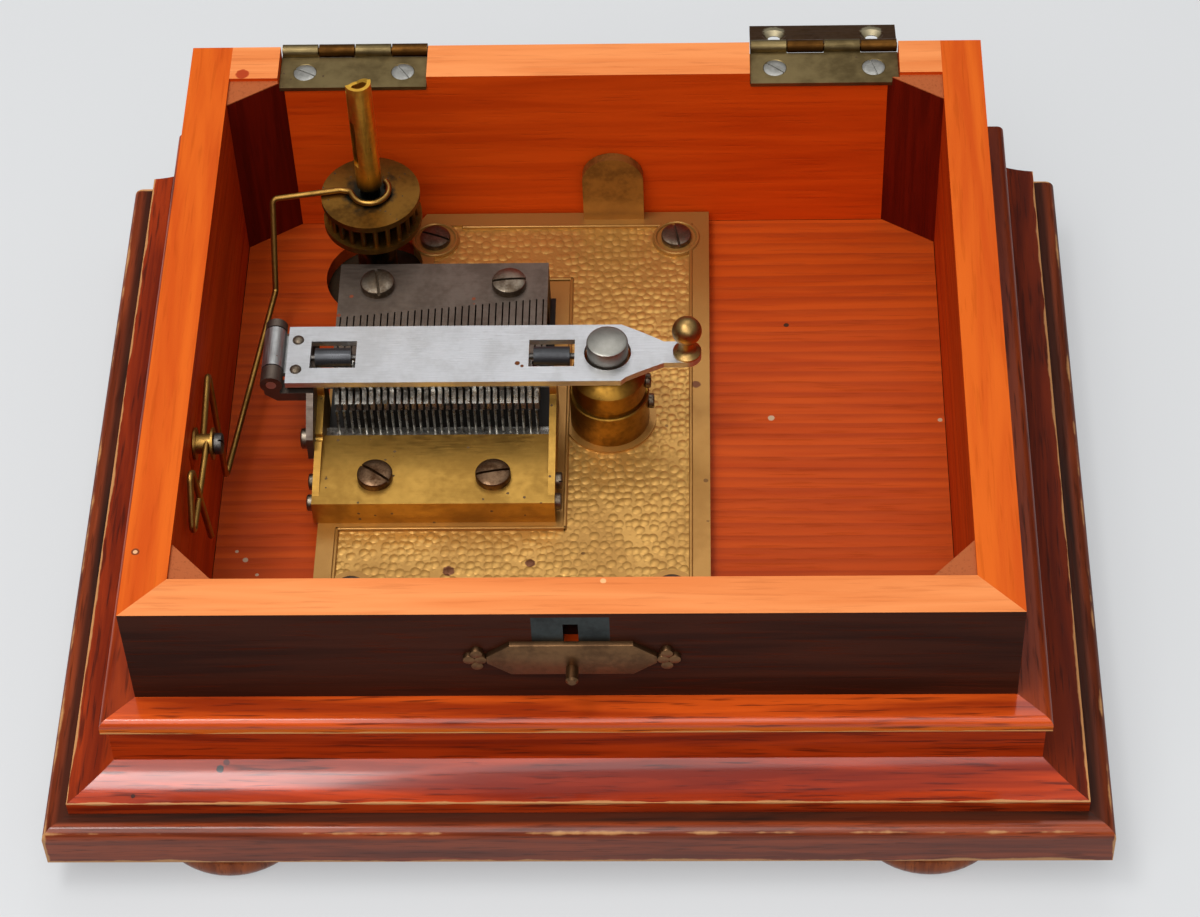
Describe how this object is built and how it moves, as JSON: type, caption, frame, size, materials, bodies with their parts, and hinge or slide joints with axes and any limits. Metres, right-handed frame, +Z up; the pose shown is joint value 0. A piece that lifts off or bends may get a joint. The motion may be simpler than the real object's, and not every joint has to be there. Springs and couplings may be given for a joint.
{
  "type": "wind up disc music box",
  "caption": "Wind up disc music box, lid off: moulded wooden case on bun feet with comb, star wheels, hinged pressure bar, lantern sprocket and brake wire",
  "frame": {"origin": "On the table under the middle of the overall box", "axes": "+X to the right along the width, +Y to the back where the hinges are, +Z up"},
  "size_m": [0.2892, 0.2556, 0.1075],
  "materials": {
    "mahogany": "varnished dark red-brown",
    "stained_wood": "varnished orange-red",
    "floor_wood": "stained softwood",
    "brass": "aged, unlacquered",
    "gilt_casting": "gold bronze paint on a casting",
    "bright_steel": "brushed",
    "dark_steel": "blackened",
    "comb_steel": "hardened, light rust",
    "roller_black": "blackened, polished"
  },
  "bodies": {
    "case": {"base_board": "mahogany", "floor_board": "floor_wood", "bun_feet": "mahogany", "plinth_moulding": "mahogany", "cap_moulding": "mahogany", "front_wall": "stained_wood", "back_wall": "stained_wood", "left_wall": "stained_wood", "right_wall": "stained_wood", "corner_blocks": "stained_wood", "hinge_leaf_left": "brass", "hinge_leaf_right": "brass", "hinge_pins": "brass", "hinge_screws": "bright_steel", "catch_plate": "brass", "catch_box": "dark_steel", "catch_spring": "dark_steel", "bedplate": "gilt_casting", "bedplate_screws": "dark_steel", "comb_block": "brass", "comb": "comb_steel", "comb_screws": "dark_steel", "gantry_block": "brass", "gantry_cheek_left": "brass", "gantry_cheek_right": "brass", "gantry_screws": "dark_steel", "cheek_screws": "dark_steel", "star_axle": "bright_steel", "dampers": "dark_steel", "centre_post": "brass", "post_spindle": "bright_steel", "post_screws": "dark_steel", "bar_bracket": "dark_steel", "bracket_screw": "dark_steel", "bar_hinge_pin": "bright_steel", "wire_pivot_screw": "dark_steel", "motor_top_plate": "brass", "motor_bottom_plate": "brass", "motor_pillars": "dark_steel"},
    "lid_leaf_left": {"lid_leaf_left": "brass"},
    "lid_leaf_right": {"lid_leaf_right": "brass"},
    "catch_button": {"catch_button": "brass"},
    "pressure_bar": {"pressure_bar": "bright_steel", "bar_hinge_leaf": "bright_steel", "bar_rivets": "dark_steel", "roller_pins": "dark_steel", "bar_knob": "brass"},
    "roller_outer": {"roller_outer": "roller_black"},
    "roller_inner": {"roller_inner": "roller_black"},
    "star_wheels": {"star_wheels": "bright_steel"},
    "sprocket": {"lantern_sprocket": "brass", "sprocket_bars": "dark_steel", "spring_barrel": "brass", "mainspring": "dark_steel"},
    "winder": {"winding_tube": "brass", "ratchet_wheel": "dark_steel"},
    "click": {"click": "dark_steel"},
    "train": {"train_wheel": "brass"},
    "fly": {"governor_fly": "brass"},
    "brake_wire": {"brake_wire": "brass"}
  },
  "joints": [
    {"name": "lid_left_hinge", "type": "hinge", "parent": "case", "child": "lid_leaf_left", "pos_m": [-0.0694, 0.11348, 0.08485], "axis": [1, 0, 0], "range_deg": [0, 235]},
    {"name": "lid_right_hinge", "type": "hinge", "parent": "case", "child": "lid_leaf_right", "pos_m": [0.0713, 0.11348, 0.08485], "axis": [1, 0, 0], "range_deg": [-38, 197]},
    {"name": "catch_press", "type": "slide", "parent": "case", "child": "catch_button", "axis": [0, 1, 0], "range_m": [0, 0.002], "stiffness_N_per_m": 300, "deforming": ["catch_spring"]},
    {"name": "bar_hinge", "type": "hinge", "parent": "case", "child": "pressure_bar", "pos_m": [-0.0892, 0.01508, 0.0571], "axis": [0, -1, 0], "range_deg": [0, 100]},
    {"name": "roller_outer_spin", "type": "hinge", "parent": "pressure_bar", "child": "roller_outer", "pos_m": [-0.0719, 0.01508, 0.0567], "axis": [1, 0, 0], "continuous": true},
    {"name": "roller_inner_spin", "type": "hinge", "parent": "pressure_bar", "child": "roller_inner", "pos_m": [-0.0088, 0.01508, 0.0567], "axis": [1, 0, 0], "continuous": true},
    {"name": "star_spin", "type": "hinge", "parent": "case", "child": "star_wheels", "pos_m": [-0.0426, 0.01508, 0.0449], "axis": [1, 0, 0], "continuous": true},
    {"name": "sprocket_spin", "type": "hinge", "parent": "case", "child": "sprocket", "pos_m": [-0.0645, 0.07618, 0.062], "axis": [0, 0, 1], "continuous": true},
    {"name": "winder_spin", "type": "hinge", "parent": "case", "child": "winder", "pos_m": [-0.0645, 0.07618, 0.1075], "axis": [0, 0, 1], "continuous": true},
    {"name": "click_swing", "type": "hinge", "parent": "case", "child": "click", "pos_m": [-0.0741, 0.06338, 0.006], "axis": [0, 0, 1], "range_deg": [0, 8], "stiffness_Nm_per_rad": 0.01},
    {"name": "train_spin", "type": "hinge", "parent": "case", "child": "train", "pos_m": [-0.0345, 0.07618, 0.008], "axis": [0, 0, 1], "continuous": true},
    {"name": "fly_spin", "type": "hinge", "parent": "case", "child": "fly", "pos_m": [-0.0222, 0.06387, 0.008], "axis": [0, 0, 1], "continuous": true},
    {"name": "brake_lift", "type": "hinge", "parent": "case", "child": "brake_wire", "pos_m": [-0.1038, -0.03152, 0.074], "axis": [1, 0, 0], "range_deg": [0, 2.2]}
  ],
  "couplings": [
    {"joint": "train_spin", "follows": "sprocket_spin", "ratio": -6.5},
    {"joint": "fly_spin", "follows": "sprocket_spin", "ratio": 40.625}
  ]
}
